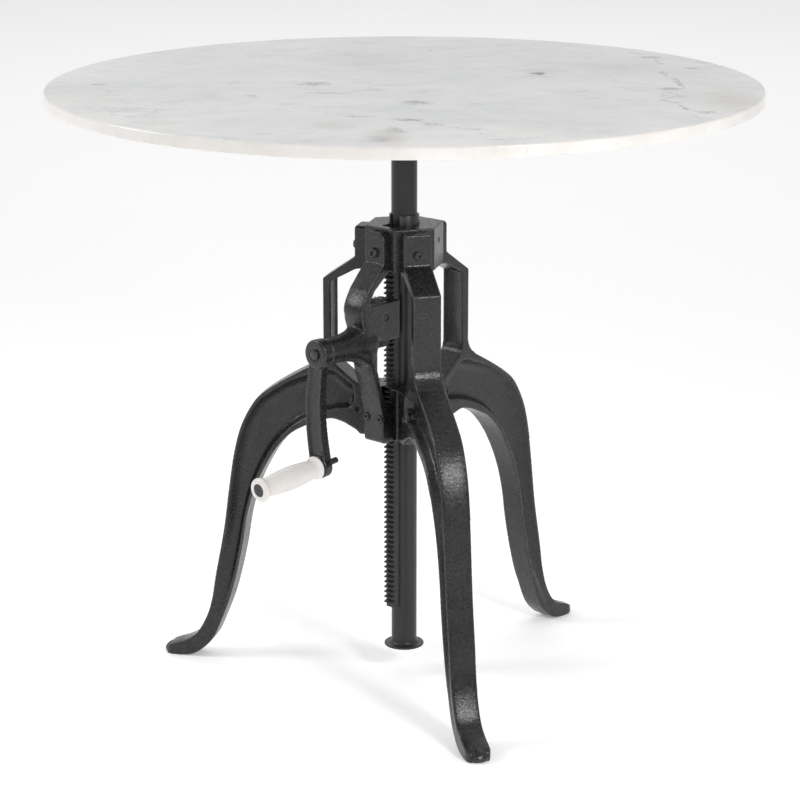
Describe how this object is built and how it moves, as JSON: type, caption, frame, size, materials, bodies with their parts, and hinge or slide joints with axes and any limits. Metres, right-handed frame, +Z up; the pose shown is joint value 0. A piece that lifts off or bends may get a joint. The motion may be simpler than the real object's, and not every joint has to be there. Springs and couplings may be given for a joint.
{
  "type": "bistro table",
  "caption": "Round white marble bistro table on a black cast-iron tripod, raised and lowered by a hand crank through a worm, a pinion and a rack on the post.",
  "frame": {"origin": "on the post's axis at the floor, under the centre of the round top", "axes": "+Z up along the post; the crank points along -Y; the legs stand at 90, 210 and 330 degrees about +Z"},
  "size_m": [0.9139, 0.914, 0.795],
  "materials": {
    "marble_white": "polished white marble with grey veins",
    "cast_iron_black": "sand-cast, painted black, satin",
    "plate_black": "black painted, satin",
    "post_steel": "smooth dark grey, satin",
    "guide_steel": "dark, satin",
    "fastener_black": "blackened, satin",
    "machined_steel": "oiled, machined",
    "bush_brass": "machined",
    "grip_white": "smooth white, faint beige clouds"
  },
  "bodies": {
    "root": {"head_casting": "cast_iron_black", "upper_guide_bush": "guide_steel", "guide_grub_screws": "fastener_black", "lower_hub": "cast_iron_black", "lower_guide_bush": "guide_steel", "leg_left": "cast_iron_black", "leg_right": "cast_iron_black", "leg_rear": "cast_iron_black", "head_bolts": "fastener_black", "hub_bolts": "fastener_black", "hub_cross_pins": "fastener_black", "gear_bracket": "cast_iron_black", "bracket_head_bolt": "fastener_black", "bracket_foot_bolts": "fastener_black", "inner_shaft_bush": "bush_brass", "outer_shaft_bush": "bush_brass", "thrust_washer": "machined_steel", "pinion_pin": "machined_steel"},
    "post": {"marble_top": "marble_white", "top_plate": "plate_black", "post_socket": "plate_black", "socket_screws": "fastener_black", "top_inserts": "bush_brass", "top_screws": "machined_steel", "post_tube": "post_steel", "rack": "post_steel", "stop_flange": "post_steel"},
    "pinion": {"pinion": "machined_steel"},
    "crank": {"crank_shaft": "machined_steel", "worm": "machined_steel", "worm_pin": "machined_steel", "crank_arm": "cast_iron_black", "crank_lock_pin": "machined_steel", "handle_spindle": "machined_steel", "spindle_washer": "machined_steel", "spindle_nut": "machined_steel"},
    "grip": {"handle_grip": "grip_white"}
  },
  "joints": [
    {"name": "crank_turn", "type": "hinge", "parent": "root", "child": "crank", "pos_m": [0, 0, 0.47], "axis": [0, 1, 0], "range_deg": [-1718.87, 14167.68]},
    {"name": "pinion_turn", "type": "hinge", "parent": "root", "child": "pinion", "pos_m": [0, -0.051, 0.502], "axis": [1, 0, 0], "range_deg": [-85.95, 708.39]},
    {"name": "post_lift", "type": "slide", "parent": "root", "child": "post", "axis": [0, 0, 1], "range_m": [-0.03301, 0.27201]},
    {"name": "grip_spin", "type": "hinge", "parent": "crank", "child": "grip", "pos_m": [0, -0.148, 0.322], "axis": [0, -0.9969, -0.0785], "continuous": true}
  ],
  "couplings": [
    {"joint": "pinion_turn", "follows": "crank_turn", "ratio": 0.05},
    {"joint": "post_lift", "follows": "crank_turn", "m_per_rad": 0.0011}
  ]
}
